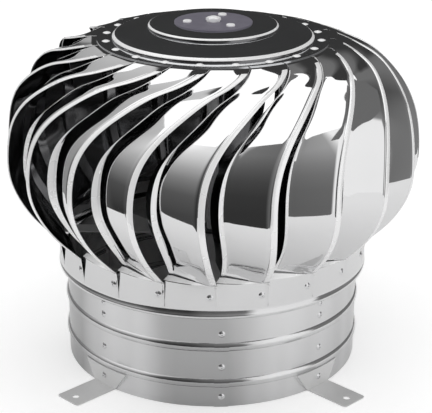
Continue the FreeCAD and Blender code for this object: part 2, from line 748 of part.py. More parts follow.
def round_bends(body, pressed, radii, bend):
    """Round the bends of a pressed sheet: its circular edges that have one of the radii."""
    names = []
    for number, edge in enumerate(pressed.Shape.Edges, start=1):
        if not isinstance(edge.Curve, Part.Circle):
            continue
        if any(abs(edge.Curve.Radius - radius) < 1e-6 for radius in radii):
            names.append("Edge%d" % number)
    fillet = body.newObject("PartDesign::Fillet", "Bends")
    fillet.Base = (pressed, names)
    bind(fillet, "Radius", bend)
    doc.recompute()
    return fillet


def make_hub_cover():
    body = new_body("hub_cover", S.screw_azimuth)
    edge = S.cover_sheet / 2
    revolve(body, ((S.cover_hole_radius, COVER_BOTTOM), (S.cover_radius, COVER_BOTTOM),
                   (S.cover_radius, COVER_TOP - edge, edge, 1), (S.cover_radius - edge, COVER_TOP),
                   (S.cover_hole_radius, COVER_TOP)))
    hole = cut_through(
        body, "XY_Plane",
        lambda sketch: disc(sketch, S.screw_circle, 0, S.screw_radius + S.rivet_fit))
    ring_of(body, [hole], HUB_SCREWS)
    return body


def make_hub_screws():
    """Three pan-head screws through the cover, the plate and the housing's flange."""
    body = new_body("hub_screws", S.screw_azimuth)
    end = HOUSING_TOP - S.housing_flange
    edge = S.screw_head_height / 2
    screw = revolve(body, (
        (0, end), (S.screw_radius, end), (S.screw_radius, COVER_TOP),
        (S.screw_head_radius, COVER_TOP), (S.screw_head_radius, COVER_TOP + edge, edge, 1),
        (S.screw_head_radius - edge, COVER_TOP + 2 * edge), (0, COVER_TOP + 2 * edge)),
        reach=S.screw_circle)
    ring_of(body, [screw], HUB_SCREWS)
    return body


# Skirt ring with its rolled rim

SKIRT_RADIUS = S.neck_radius + S.skirt_reach


def make_skirt_ring():
    body = new_body("skirt_ring", S.skirt_rivet_azimuth)
    outside = SKIRT_RADIUS
    inside = outside - S.skirt_sheet
    roll = S.rim_bead_radius
    inner_roll = roll - S.skirt_sheet
    middle = outside + S.rim_bead_stand - roll
    height = S.rim_bead_height
    outer_join = height + root(roll * roll - (outside - middle) * (outside - middle))
    inner_join = height + root(inner_roll * inner_roll - (inside - middle) * (inside - middle))
    end_angle = S.rim_roll_end
    revolve(body, (
        (inside, S.skirt_top), (inside, inner_join, inner_roll, -1),
        (middle, height - inner_roll, inner_roll, -1),
        (middle + inner_roll * cosine(end_angle), height + inner_roll * sine(end_angle)),
        (middle + roll * cosine(end_angle), height + roll * sine(end_angle), roll, 1),
        (middle, height - roll, roll, 1),
        (outside, outer_join), (outside, S.skirt_top)))
    drill(body, S.skirt_rivet_height, 0, inside, outside, S.vane_count)
    return body


# Guide cross and bush

CROSS_FACE = SKIRT_RADIUS - S.skirt_sheet - S.seat_fit


def make_guide_cross():
    """A pressed cross whose arms end in tabs, riveted inside the skirt ring."""
    body = new_body("guide_cross", S.skirt_rivet_azimuth)
    top = S.cross_height + S.cross_sheet
    half = S.cross_width / 2
    tab_angle = S.cross_width / CROSS_FACE * (180 / math.pi)

    def hub(sketch):
        disc(sketch, 0, 0, S.cross_hub_radius)

    def arm(sketch):
        outline(sketch, ((0, -half), (CROSS_FACE - S.cross_sheet / 2, -half),
                         (CROSS_FACE - S.cross_sheet / 2, half), (0, half)))

    pad(body, "XY_Plane", hub, S.cross_sheet, height=S.cross_height)
    one_arm = pad(body, "XY_Plane", arm, S.cross_sheet, height=S.cross_height)
    tab = revolve(body, rectangle(CROSS_FACE - S.cross_sheet, top - S.cross_tab, CROSS_FACE, top),
                  angle=tab_angle)
    ring_of(body, [one_arm, tab], S.cross_arms)
    cut_through(body, "XY_Plane", lambda sketch: disc(sketch, 0, 0, S.bush_radius + S.seat_fit))
    drill(body, S.skirt_rivet_height, 0, CROSS_FACE - S.cross_sheet, CROSS_FACE, S.cross_arms)
    return body


def make_guide_bush():
    body = new_body("guide_bush")
    bore = S.shaft_radius + S.running_fit
    seat = S.cross_height + S.cross_sheet + S.seat_fit
    revolve(body, ((bore, seat - S.bush_length), (S.bush_radius, seat - S.bush_length),
                   (S.bush_radius, seat), (S.bush_flange_radius, seat),
                   (S.bush_flange_radius, seat + S.bush_flange), (bore, seat + S.bush_flange)))
    return body


# Vanes: one sheet each, ruled between guide curves that run over the ball

TAB_INSIDE = SKIRT_RADIUS + S.tab_fit
FLANGE_TOP = S.plate_height - 4 * S.seat_fit
CROWN_EDGE = S.plate_radius + S.flange_flat
SHOULDER_RADIUS = S.plate_radius + S.shoulder_reach
CROWN_STATIONS = 4
BALL_STATIONS = 9


def half_of_ball(end_radius, end_height, fullness):
    """A half of the ball's outline: the latitude of its end, and its rise up to its pole."""
    power = fullness.value / 2
    c = (end_radius / S.ball_radius).value ** power
    end_latitude = math.acos(c)
    rise = (end_height - S.equator_height).value / math.sin(end_latitude) ** (1 / power)
    return math.degrees(end_latitude), rise


SHOULDER_LATITUDE, UPPER_RISE = half_of_ball(
    SHOULDER_RADIUS, FLANGE_TOP - S.crown_drop, S.upper_fullness)
LEDGE_LATITUDE, LOWER_RISE = half_of_ball(
    TAB_INSIDE + S.ledge_reach, S.tab_top + S.ledge_rise, S.lower_fullness)


def ball_point(latitude):
    """Radius and height of the ball's outline at a latitude, -90 to 90 degrees."""
    fullness, rise = S.upper_fullness.value, UPPER_RISE
    if latitude < 0:
        fullness, rise = S.lower_fullness.value, LOWER_RISE
    c = math.cos(math.radians(latitude)) ** (2 / fullness)
    s = math.sin(math.radians(abs(latitude))) ** (2 / fullness)
    return S.ball_radius.value * c, S.equator_height.value + rise * s


def ball_normal(latitude):
    """Outward direction (radial, upward) of the ball's outline at a latitude."""
    step = 0.5
    radius_low, height_low = ball_point(latitude - step)
    radius_high, height_high = ball_point(latitude + step)
    along = Vector(radius_high - radius_low, height_high - height_low, 0).normalize()
    return along.y, -along.x


def polar(radius, azimuth, height):
    angle = math.radians(azimuth)
    return Vector(radius * math.cos(angle), radius * math.sin(angle), height)


def vane_row(radius, height, out, rise, swept, span, offsets):
    """Eight points of a vane at one height, four on its outer skin and the four under them.

    They run from the inner edge over the two creases to the lip. The outer skin lies at the
    offsets from (radius, height) along the direction (out, rise).
    """
    lip = math.degrees(S.lip_width.value / radius)
    turned = math.degrees(S.turned_width.value / radius)
    azimuths = (-span - swept, turned - span - swept, -lip - swept, -swept)
    points = []
    for depth in (0, S.vane_sheet.value):
        for azimuth, offset in zip(azimuths, offsets):
            points.append(polar(radius + out * (offset - depth), azimuth,
                                height + rise * (offset - depth)))
    return points


def vane_rows():
    """Rows of points from the flange under the top plate over crown and ball to the tab."""
    rows = []
    for radius in (S.plate_radius - S.flange_reach, TOP_RIVET_CIRCLE, S.plate_radius):
        rows.append(vane_row(radius.value, FLANGE_TOP.value, 0, 1, 0,
                             (PITCH - S.flange_slit).value, (0, 0, 0, 0)))
    shoulder_tilt = math.atan2(*ball_normal(SHOULDER_LATITUDE))
    shoulder_lift = (S.turned_lift * S.shoulder_inset / S.vane_inset).value
    for number in range(CROWN_STATIONS):
        share = number / CROWN_STATIONS
        started = share ** S.crown_power.value
        radius = (CROWN_EDGE + (SHOULDER_RADIUS - CROWN_EDGE) * share).value
        height = FLANGE_TOP.value - S.crown_drop.value * share ** S.crown_drop_power.value
        tilt = shoulder_tilt * share
        inset = S.shoulder_inset.value * started
        lift = shoulder_lift * started
        stand = S.lip_stand.value * started
        slit = (S.flange_slit + (S.end_gap - S.flange_slit) * share).value
        rows.append(vane_row(radius, height, math.sin(tilt), math.cos(tilt),
                             S.shoulder_sweep.value * started, PITCH.value - slit,
                             (lift - inset, -inset, stand, stand)))
    for number in range(BALL_STATIONS):
        share_down = number / (BALL_STATIONS - 1)
        latitude = SHOULDER_LATITUDE - (SHOULDER_LATITUDE + LEDGE_LATITUDE) * share_down
        radius, height = ball_point(latitude)
        out, rise = ball_normal(latitude)
        if latitude < 0:
            share, power = -latitude / LEDGE_LATITUDE, S.base_sweep_power.value
            end_sweep, end_inset, end_lift = S.base_sweep.value, S.base_inset.value, 0
        else:
            share, power = latitude / SHOULDER_LATITUDE, S.upper_sweep_power.value
            end_sweep, end_inset, end_lift = (S.shoulder_sweep.value, S.shoulder_inset.value,
                                              shoulder_lift)
        swept = S.equator_sweep.value + (end_sweep - S.equator_sweep.value) * share ** power
        late = share ** S.inset_power.value
        inset = S.vane_inset.value + (end_inset - S.vane_inset.value) * late
        lift = S.turned_lift.value + (end_lift - S.turned_lift.value) * late
        gap = (S.vane_gap + (S.end_gap - S.vane_gap) * late).value
        rows.append(vane_row(radius, height, out, rise, swept, PITCH.value - gap,
                             (lift - inset, -inset, S.lip_stand.value, S.lip_stand.value)))
    return rows


def ruled(first, second):
    """The face ruled between two edges that run the same way."""
    same_way = 1
    return Part.makeRuledSurface(first, second, same_way)


def make_vane_shape():
    """The vane whose lip starts at azimuth 0, as one closed solid."""
    rows = vane_rows()

    def guide(column):
        curve = Part.BSplineCurve()
        curve.interpolate([row[column] for row in rows])
        return curve.toShape()

    around = (0, 1, 2, 3, 7, 6, 5, 4)
    guides = [guide(column) for column in around]
    faces = [ruled(guides[number], guides[(number + 1) % 8]) for number in range(8)]
    first, last = rows[0], rows[-1]
    for strip in range(3):
        faces.append(ruled(Part.makeLine(first[strip], first[strip + 1]),
                                           Part.makeLine(first[strip + 4], first[strip + 5])))

    # Tab: a piece of cylinder outside the skirt ring, joined to the face by a ledge.
    # Its upper right corner stands out, over the left edge of the next vane's tab.
    tab_right = -S.base_sweep.value
    tab_left = tab_right - PITCH.value - S.tab_overlap.value
    tab_end_left = tab_right - PITCH.value + S.tab_slit.value
    tab_crease = tab_right - math.degrees(S.tab_flap.value / TAB_INSIDE.value)
    tab_turned = tab_left + math.degrees(S.turned_width.value / TAB_INSIDE.value)
    top_azimuths = (tab_left, tab_turned, tab_crease, tab_right)
    end_azimuths = (tab_end_left, tab_turned, tab_crease, tab_right)
    top_heights = [S.tab_top.value + S.tab_rise.value * (tab_right - azimuth) / (tab_right - tab_left)
                   for azimuth in top_azimuths]
    end_heights = [S.tab_bottom.value] * 4
    top_radii = (TAB_INSIDE.value,) * 3 + (TAB_INSIDE.value + S.tab_lift.value,)
    end_radii = (TAB_INSIDE.value,) * 4

    def tab_edges(azimuths, heights, radii, depth):
        """Arcs of the tab from corner to corner, depth outside its inner face."""
        edges = []
        for strip in range(3):
            ends = (azimuths[strip], azimuths[strip + 1])
            middle_height = (heights[strip] + heights[strip + 1]) / 2
            middle_radius = (radii[strip] + radii[strip + 1]) / 2
            arc = Part.Arc(polar(radii[strip] + depth, ends[0], heights[strip]),
                           polar(middle_radius + depth, sum(ends) / 2, middle_height),
                           polar(radii[strip + 1] + depth, ends[1], heights[strip + 1]))
            edges.append(arc.toShape())
        return edges

    outer_top = tab_edges(top_azimuths, top_heights, top_radii, S.vane_sheet.value)
    inner_top = tab_edges(top_azimuths, top_heights, top_radii, 0)
    outer_bottom = tab_edges(end_azimuths, end_heights, end_radii, S.vane_sheet.value)
    inner_bottom = tab_edges(end_azimuths, end_heights, end_radii, 0)
    for strip in range(3):
        outer_end = Part.makeLine(last[strip], last[strip + 1])
        inner_end = Part.makeLine(last[strip + 4], last[strip + 5])
        faces.append(ruled(outer_end, outer_top[strip]))
        faces.append(ruled(inner_end, inner_top[strip]))
        faces.append(ruled(outer_top[strip], outer_bottom[strip]))
        faces.append(ruled(inner_top[strip], inner_bottom[strip]))
        faces.append(ruled(outer_bottom[strip], inner_bottom[strip]))
    for column, strip, end in ((0, 0, 0), (3, 2, 1)):
        corners = [last[column], last[column + 4]]
        top_out = outer_top[strip].Vertexes[end].Point
        top_in = inner_top[strip].Vertexes[end].Point
        low_out = outer_bottom[strip].Vertexes[end].Point
        low_in = inner_bottom[strip].Vertexes[end].Point
        faces.append(ruled(Part.makeLine(*corners), Part.makeLine(top_out, top_in)))
        faces.append(ruled(Part.makeLine(top_out, top_in), Part.makeLine(low_out, low_in)))
    shell = Part.Shell([face for piece in faces for face in piece.Faces])
    shell.sewShape()
    solid = Part.Solid(shell)
    if solid.Volume < 0:
        solid.reverse()

    # Rivet holes through the flange and the tab
    hole_radius = (S.rivet_radius + S.rivet_fit).value
    margin = S.rivet_head_radius.value
    top_angle = S.top_rivet_azimuth.value - S.vane_top_azimuth.value
    hole_top = polar(TOP_RIVET_CIRCLE.value, top_angle, FLANGE_TOP.value - margin)
    skirt_angle = nearest_rivet(tab_right)
    hole_side = polar(TAB_INSIDE.value - margin, skirt_angle, S.skirt_rivet_height.value)
    holes = (Part.makeCylinder(hole_radius, 2 * margin, hole_top, Vector(0, 0, 1)),
             Part.makeCylinder(hole_radius, 2 * margin, hole_side, polar(1, skirt_angle, 0)))
    return solid.cut(Part.makeCompound(holes))


def nearest_rivet(tab_edge):
    """Azimuth of the skirt rivet next inside a tab's right edge, in the vane's own frame."""
    pitch = PITCH.value
    phase = S.skirt_rivet_azimuth.value - S.vane_top_azimuth.value
    steps = math.floor((tab_edge - phase) / pitch)
    return phase + steps * pitch


def make_vanes():
    shape = make_vane_shape()
    vanes = []
    for number in range(int(round(S.vane_count.value))):
        vane = doc.addObject("Part::Feature", "vane_%02d" % (number + 1))
        vane.Label = vane.Name
        vane.Shape = shape
        turned = S.vane_top_azimuth + PITCH * number
        vane.Placement = Placement(Vector(0, 0, 0), Rotation(Vector(0, 0, 1), turned.value))
        bind(vane, "Placement.Rotation.Angle", turned * Size(1, "1 deg"))
        vanes.append(vane)
    return vanes


def make_top_rivets():
    body = new_body("top_rivets", S.top_rivet_azimuth)
    seat = S.plate_height + S.plate_sheet
    grip = seat - FLANGE_TOP + S.vane_sheet
    rivet = revolve(body, upright(rivet_outline(seat, grip, S.top_rivet_head_radius)),
                    reach=TOP_RIVET_CIRCLE)
    ring_of(body, [rivet], S.vane_count)
    return body


def make_skirt_rivets():
    body = new_body("skirt_rivets", S.skirt_rivet_azimuth)
    seat = TAB_INSIDE + S.vane_sheet
    rivet = revolve(body, rivet_outline(seat, seat - SKIRT_RADIUS + S.skirt_sheet),
                    about="H_Axis", height=S.skirt_rivet_height)
    ring_of(body, [rivet], S.vane_count)
    return body


# Everything, checked and written

os.makedirs("parts", exist_ok=True)
feet = ("foot_rear_right", "foot_rear_left", "foot_front_left", "foot_front_right")

make_collar()
make_seam_rivets()
for number, label in enumerate(feet):
    make_foot(label, number)
make_foot_rivets()
make_frame_strap("frame_strap_lower", S.foot_azimuth, S.frame_top)
make_frame_strap("frame_strap_upper", S.foot_azimuth + 360 / FOOT_COUNT, UPPER_STRAP_TOP)
make_frame_rivets()
make_shaft()
make_washer("frame_washer_upper", WASHER_BOTTOM)
make_washer("frame_washer_lower", FRAME_UNDERSIDE - S.seat_fit - S.washer_sheet)
thread_bore = S.shaft_thread_radius + S.seat_fit
make_nut("shaft_nut", LOWER_NUT_TOP - S.nut_height, S.nut_flats, S.nut_height, thread_bore)
make_nut("shaft_lock_nut", LOWER_NUT_TOP - S.nut_height - S.lock_nut_height - S.seat_fit,
         S.nut_flats, S.lock_nut_height, thread_bore)
make_bearing_inner()
make_bearing_outer()
make_housing()
make_retainer()
make_sleeve()
make_nut("centre_nut", SLEEVE_TOP + S.seat_fit, S.top_nut_flats, S.top_nut_height,
         S.shaft_tip_radius + S.seat_fit)
make_top_plate()
make_hub_cover()
make_hub_screws()
make_skirt_ring()
make_guide_cross()
make_guide_bush()
make_vanes()
make_top_rivets()
make_skirt_rivets()
doc.recompute()

for item in doc.Objects:
    if "Invalid" in item.State or "Error" in item.State:
        raise RuntimeError("%s is in error" % item.Label)

for item in doc.Objects:
    if item.TypeId not in ("PartDesign::Body", "Part::Feature"):
        continue
    if item.Shape.isNull() or not item.Shape.isValid():
        raise RuntimeError("%s has no valid shape" % item.Label)
    item.Shape.exportStep("parts/%s.step" % item.Label)
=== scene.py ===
"""Looks of the rotating chimney cowl: polished vanes with folds and dents, the pressed top plate and
the rolled skirt ring, steel finishes, and a studio.

The cowl's sizes are in millimetres and degrees, its meshes and the studio in metres. The frame is
the CAD's: the axis is Z, and the front looks along -Y.
"""
import json
import math

import bpy
import numpy as np
from mathutils import Matrix, Vector


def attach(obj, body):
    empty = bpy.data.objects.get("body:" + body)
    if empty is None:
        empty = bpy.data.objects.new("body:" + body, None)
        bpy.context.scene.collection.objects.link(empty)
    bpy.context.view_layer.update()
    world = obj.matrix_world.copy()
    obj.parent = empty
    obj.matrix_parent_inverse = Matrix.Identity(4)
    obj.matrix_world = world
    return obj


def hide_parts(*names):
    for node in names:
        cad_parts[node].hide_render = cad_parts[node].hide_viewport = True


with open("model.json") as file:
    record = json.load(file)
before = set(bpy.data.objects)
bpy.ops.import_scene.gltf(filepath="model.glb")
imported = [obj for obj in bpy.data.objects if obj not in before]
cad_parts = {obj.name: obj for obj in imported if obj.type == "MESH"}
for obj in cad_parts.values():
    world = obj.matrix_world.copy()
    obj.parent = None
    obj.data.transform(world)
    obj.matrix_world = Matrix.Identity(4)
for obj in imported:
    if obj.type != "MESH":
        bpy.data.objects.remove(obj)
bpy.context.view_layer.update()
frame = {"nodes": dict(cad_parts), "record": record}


# Sizes of a vane. Those of its corner lines are the solid's, apart from the turned edge, which is
# narrower here and fades out above the equator.

VANES = 20
PITCH = 360 / VANES
SHEET = 0.6
BALL_RADIUS, EQUATOR = 207.9, 212.0
UPPER_FULLNESS, LOWER_FULLNESS = 2.62, 1.78
PLATE_RADIUS, SHOULDER_REACH, LEDGE_REACH = 114.9, 45.0, 4.0
FLANGE_REACH, RIVET_INSET, FLANGE_FLAT = 13.4, 8.4, 5.0
FLANGE_TOP, CROWN_DROP, CROWN_DROP_POWER = 329.12, 14.0, 1.2
TOP_AZIMUTH = -1.7
SHOULDER_SWEEP, EQUATOR_SWEEP, BASE_SWEEP = 15.5, 36.2, 32.7
UPPER_POWER, BASE_POWER, CROWN_POWER, INSET_POWER = 2.1, 1.6, 1.25, 4.0
INSET, SHOULDER_INSET, BASE_INSET = 16.0, 9.2, 9.5
GAP, END_GAP, FLANGE_SLIT = 3.5, 1.5, 0.8
LIP, LIP_STAND = 6.0, 0.3
TURNED, TURNED_LIFT, THIN_EDGE = 4.6, 3.4, 1.2
FADE_START, FADE_END = 0.1, 0.6
TAB_INSIDE = 157.1
TAB_TOP, LEDGE_RISE, TAB_BOTTOM, TAB_RISE = 130.5, 2.5, 106.0, 4.0
TAB_SLIT, TAB_OVERLAP, TAB_FLAP, TAB_LIFT = 0.25, 0.3, 2.4, 3.2
CROWN_STATIONS, BALL_STATIONS = 4, 9


def smooth(low, high, x):
    t = np.clip((x - low) / (high - low), 0, 1)
    return t * t * (3 - 2 * t)


def half_of_ball(end_radius, end_height, fullness):
    """Latitude at which half of the ball ends, and its rise from the equator to the pole."""
    end = math.acos((end_radius / BALL_RADIUS) ** (fullness / 2))
    return math.degrees(end), (end_height - EQUATOR) / math.sin(end) ** (2 / fullness)


SHOULDER, UPPER_RISE = half_of_ball(PLATE_RADIUS + SHOULDER_REACH, FLANGE_TOP - CROWN_DROP,
                                    UPPER_FULLNESS)
LEDGE, LOWER_RISE = half_of_ball(TAB_INSIDE + LEDGE_REACH, TAB_TOP + LEDGE_RISE, LOWER_FULLNESS)


def ball_point(latitude):
    """Radius and height of the ball's outline."""
    fullness, rise = (UPPER_FULLNESS, UPPER_RISE) if latitude >= 0 else (LOWER_FULLNESS, LOWER_RISE)
    c = math.cos(math.radians(latitude)) ** (2 / fullness)
    s = math.sin(math.radians(abs(latitude))) ** (2 / fullness)
    return BALL_RADIUS * c, EQUATOR + rise * s


def ball_normal(latitude):
    low, high = ball_point(latitude - 0.5), ball_point(latitude + 0.5)
    length = math.hypot(high[0] - low[0], high[1] - low[1])
    return (high[1] - low[1]) / length, (low[0] - high[0]) / length


def polar(radius, azimuth, height):
    a = math.radians(azimuth)
    return (radius * math.cos(a), radius * math.sin(a), height)


def row_of_corners(radius, height, out, rise, swept, span, offsets, strip):
    """Inner edge, its crease, the crease of the lip strip, and the lip, at one height."""
    lip, turned = math.degrees(LIP / radius), math.degrees(strip / radius)
    azimuths = (-span - swept, turned - span - swept, -lip - swept, -swept)
    return [polar(radius + out * off, az, height + rise * off)
            for az, off in zip(azimuths, offsets)]


def flange_corners():
    """The flat flange under the top plate."""
    return [row_of_corners(radius, FLANGE_TOP, 0, 1, 0, PITCH - FLANGE_SLIT, (0, 0, 0, 0), THIN_EDGE)
            for radius in (PLATE_RADIUS - FLANGE_REACH, PLATE_RADIUS - RIVET_INSET, PLATE_RADIUS)]


def crown_corners():
    """From the plate's edge to the ball's shoulder."""
    rows = []
    tilt = math.atan2(*ball_normal(SHOULDER))
    edge = PLATE_RADIUS + FLANGE_FLAT
    for number in range(CROWN_STATIONS):
        share = number / CROWN_STATIONS
        started = share ** CROWN_POWER
        radius = edge + (PLATE_RADIUS + SHOULDER_REACH - edge) * share
        height = FLANGE_TOP - CROWN_DROP * share ** CROWN_DROP_POWER
        slit = FLANGE_SLIT + (END_GAP - FLANGE_SLIT) * share
        inset, stand = SHOULDER_INSET * started, LIP_STAND * started
        rows.append(row_of_corners(radius, height, math.sin(tilt * share), math.cos(tilt * share),
                                   SHOULDER_SWEEP * started, PITCH - slit,
                                   (-inset, -inset, stand, stand), THIN_EDGE))
    return rows


def ball_corners():
    """From the shoulder over the equator to the ledge above the tabs."""
    rows = []
    for number in range(BALL_STATIONS):
        latitude = SHOULDER - (SHOULDER + LEDGE) * number / (BALL_STATIONS - 1)
        radius, height = ball_point(latitude)
        out, rise = ball_normal(latitude)
        share, power = latitude / SHOULDER, UPPER_POWER
        end_sweep, end_inset = SHOULDER_SWEEP, SHOULDER_INSET
        if latitude < 0:
            share, power = -latitude / LEDGE, BASE_POWER
            end_sweep, end_inset = BASE_SWEEP, BASE_INSET
        swept = EQUATOR_SWEEP + (end_sweep - EQUATOR_SWEEP) * share ** power
        late = share ** INSET_POWER
        inset = INSET + (end_inset - INSET) * late
        lift, strip = TURNED_LIFT * (1 - late), TURNED
        if latitude > 0:
            fading = smooth(FADE_START, FADE_END, share)
            lift, strip = TURNED_LIFT * (1 - fading), TURNED + (THIN_EDGE - TURNED) * fading
        gap = GAP + (END_GAP - GAP) * late
        rows.append(row_of_corners(radius, height, out, rise, swept, PITCH - gap,
                                   (lift - inset, -inset, LIP_STAND, LIP_STAND), strip))
    return rows


def along_spline(points, shares):
    """Natural cubic spline down the rows, by the length of the lip."""
    count = len(points)
    flat = points.reshape(count, -1)
    knots = np.concatenate(([0], np.cumsum(np.linalg.norm(np.diff(points[:, -1], axis=0), axis=1))))
    gaps = np.diff(knots)
    matrix, right = np.eye(count), np.zeros((count, flat.shape[1]))
    for i in range(1, count - 1):
        matrix[i, i - 1:i + 2] = gaps[i - 1], 2 * (gaps[i - 1] + gaps[i]), gaps[i]
        right[i] = 6 * ((flat[i + 1] - flat[i]) / gaps[i] - (flat[i] - flat[i - 1]) / gaps[i - 1])
    bend = np.linalg.solve(matrix, right)
    place = shares * knots[-1]
    k = np.clip(np.searchsorted(knots, place, side="right") - 1, 0, count - 2)
    a, b = (knots[k + 1] - place) / gaps[k], (place - knots[k]) / gaps[k]
    a, b, g = a[:, None], b[:, None], gaps[k][:, None]
    bent = (a ** 3 - a) * bend[k] + (b ** 3 - b) * bend[k + 1]
    read = a * flat[k] + b * flat[k + 1] + bent * g * g / 6
    return read.reshape((len(place),) + points.shape[1:])


# The grid of points on a vane's outer skin. A section is a list of shares of a strip's width and
# how far the skin stands out there, and across is a point's share from inner edge to lip.

ROWS, FLANGE_ROWS, END_CROWDING = 120, 12, 0.35
BALL_FADE_IN, BALL_FADE_OUT = (0.1, 0.3), (0.93, 0.99)
RETURN_TURN, RETURN_DROP, RETURN_LEAST = 2.4, 8.0, 0.02
RETURN_SHARES = (1.0, 0.6, 0.25)
TURNED_SHARES, TURNED_ACROSS = (0, 0.35, 0.7, 0.9), (0, 0.02, 0.05, 0.08)
FACE_COLUMNS, FACE_BULGE, BULGE_START = 16, 0.8, 0.15
FACE_ACROSS, FACE_SPAN_ACROSS, CREASE_ACROSS, FOLD_ACROSS = 0.1, 0.75, 0.9, 0.02
FOLD_WIDTH, FOLD_DEPTH = 1.5, 0.4
FOLD_SECTION = ((1.4, 0.0), (1.0, 0.55), (0.6, 1.0), (0.25, 0.5), (0.0, 0.0))
LIP_SECTION = ((0.15, 0.35), (0.4, 0.6), (0.7, 0.5), (1.0, 0.0))
# How far the skin lies inside the solid's, to leave room in the CAD's box for dents and bulge
SKIN_INSET = 0.45
LEFT_COLUMNS = len(RETURN_SHARES) + len(TURNED_SHARES)
LEDGE_SHARES = (0.2, 0.5, 0.88)
TAB_SHARES = (0.0, 0.03, 0.1, 0.3, 0.55, 0.8, 0.94, 1.0)
FLAP_SHARES = (0.2, 0.45, 0.7, 1.0)


def vane_grid():
    """Outer skin from flange to ledge, with its face's bulge and the fold by its lip.

    Also gives, for each point, its share across (0 inner edge to 1 lip) and down the vane.
    """
    rows = flange_corners() + crown_corners() + ball_corners()
    keys = np.array(rows)
    even = np.linspace(0.0, 1.0, ROWS - FLANGE_ROWS)
    shares = 0.5 - 0.5 * np.cos(even * math.pi)
    shares = END_CROWDING * shares + (1 - END_CROWDING) * even
    flange = along_spline(keys[:4], np.linspace(0, 1, FLANGE_ROWS, endpoint=False))
    corners = np.concatenate((flange, along_spline(keys[3:], shares)))
    inner_edge, turned, crease, lip = (corners[:, i] for i in range(4))
    normal = np.cross(lip - inner_edge, np.gradient(crease, axis=0))
    normal /= -np.linalg.norm(normal, axis=1)[:, None]
    if normal[ROWS // 2] @ crease[ROWS // 2] < 0:
        normal = -normal
    down = np.linspace(0, 1, ROWS)
    on_ball = (smooth(*BALL_FADE_IN, down) * (1 - smooth(*BALL_FADE_OUT, down)))[:, None]
    columns, across = [], []

    # Return that runs from the inner edge under the neighbour's lip
    for share in RETURN_SHARES:
        reach = np.maximum(on_ball, RETURN_LEAST) * share
        turn = -np.radians(RETURN_TURN) * reach[:, 0]
        x, y, z = inner_edge.T
        turned_in = np.stack((x * np.cos(turn) - y * np.sin(turn),
                              x * np.sin(turn) + y * np.cos(turn), z), axis=1)
        columns.append(turned_in - normal * RETURN_DROP * reach)
        across.append(0)
    columns += [inner_edge + (turned - inner_edge) * share for share in TURNED_SHARES]
    across += TURNED_ACROSS
    length = np.linalg.norm(crease - turned, axis=1)[:, None]
    for i in range(FACE_COLUMNS + 1):
        f = np.full((ROWS, 1), i / FACE_COLUMNS)
        f = f * (1 - 2 * FOLD_WIDTH / length)
        bulge = 4 * f * (1 - f) * FACE_BULGE * on_ball
        start = smooth(0, BULGE_START, f) * on_ball
        columns.append(turned + (crease - turned) * f + normal * bulge * start)
        across.append(FACE_ACROSS + FACE_SPAN_ACROSS * i / FACE_COLUMNS)
    for reach, depth in FOLD_SECTION:
        columns.append(crease - (crease - turned) / length * FOLD_WIDTH * reach
                       - normal * FOLD_DEPTH * depth * on_ball)
        across.append(CREASE_ACROSS - FOLD_ACROSS * reach)
    for share, stand in LIP_SECTION:
        columns.append(crease + (lip - crease) * share + normal * stand * on_ball)
        across.append(CREASE_ACROSS + (1 - CREASE_ACROSS) * share)
    settled = np.stack(columns, axis=1) - (normal * on_ball * SKIN_INSET)[:, None]
    return settled, np.array(across), down


def tab_rows(last):
    """Rows of the ledge and the tab below the ball's last row, in step with the grid's columns."""
    right = -BASE_SWEEP
    left = right - PITCH - TAB_OVERLAP
    end_left = right - PITCH + TAB_SLIT
    crease = right - math.degrees(TAB_FLAP / TAB_INSIDE)
    turned = left + math.degrees(TURNED / TAB_INSIDE)
    shares = np.linspace(0, 1, FACE_COLUMNS + 1 + len(FOLD_SECTION))
    upper, lower = (np.concatenate((np.linspace(start, turned, LEFT_COLUMNS, endpoint=False),
                                    turned + (crease - turned) * shares,
                                    crease + (right - crease) * np.array(FLAP_SHARES)))
                    for start in (left, end_left))
    outside = TAB_INSIDE + SHEET
    top_heights = TAB_TOP + TAB_RISE * (right - upper) / (right - left)
    lift = TAB_LIFT * np.clip((upper - crease) / (right - crease), 0, 1)
    top = np.array([polar(outside + l, a, h) for a, l, h in zip(upper, lift, top_heights)])
    rows = [last * (1 - share) + top * share for share in LEDGE_SHARES]
    radii_top = np.hypot(top[:, 0], top[:, 1])
    for f in TAB_SHARES:
        azimuths = upper + (lower - upper) * f
        radii = radii_top + (outside - radii_top) * f
        heights = top_heights + (TAB_BOTTOM - top_heights) * f
        rows.append(np.array([polar(r, a, h) for r, a, h in zip(radii, azimuths, heights)]))
    return np.stack(rows)


def skin_normals(grid):
    down, over = np.gradient(grid, axis=0), np.gradient(grid, axis=1)
    normals = np.cross(over, down)
    normals /= np.linalg.norm(normals, axis=2)[..., None] + 1e-12
    middle = grid.shape[0] // 2, grid.shape[1] // 2
    if normals[middle][:2] @ grid[middle][:2] < 0:
        normals = -normals
    return normals


# Shader nodes

def new_material(name):
    material = bpy.data.materials.new(name)
    material.use_nodes = True
    tree = material.node_tree
    return material, tree, tree.nodes["Principled BSDF"]


def node(tree, kind, **settings):
    made = tree.nodes.new(kind)
    for key, value in settings.items():
        if key in made.inputs:
            made.inputs[key].default_value = value
        else:
            setattr(made, key, value)
    return made


def feed(tree, socket, item):
    """Set a socket to a number, or link another socket to it."""
    if isinstance(item, (int, float)):
        socket.default_value = item
    else:
        tree.links.new(item, socket)


def calculate(tree, operation, *items):
    made = node(tree, "ShaderNodeMath", operation=operation)
    for socket, item in zip(made.inputs, items):
        feed(tree, socket, item)
    return made.outputs[0]


def axes(tree, coordinates):
    """The three numbers of one of the texture coordinates."""
    place = node(tree, "ShaderNodeTexCoord")
    parts = node(tree, "ShaderNodeSeparateXYZ")
    tree.links.new(place.outputs[coordinates], parts.inputs[0])
    return parts.outputs


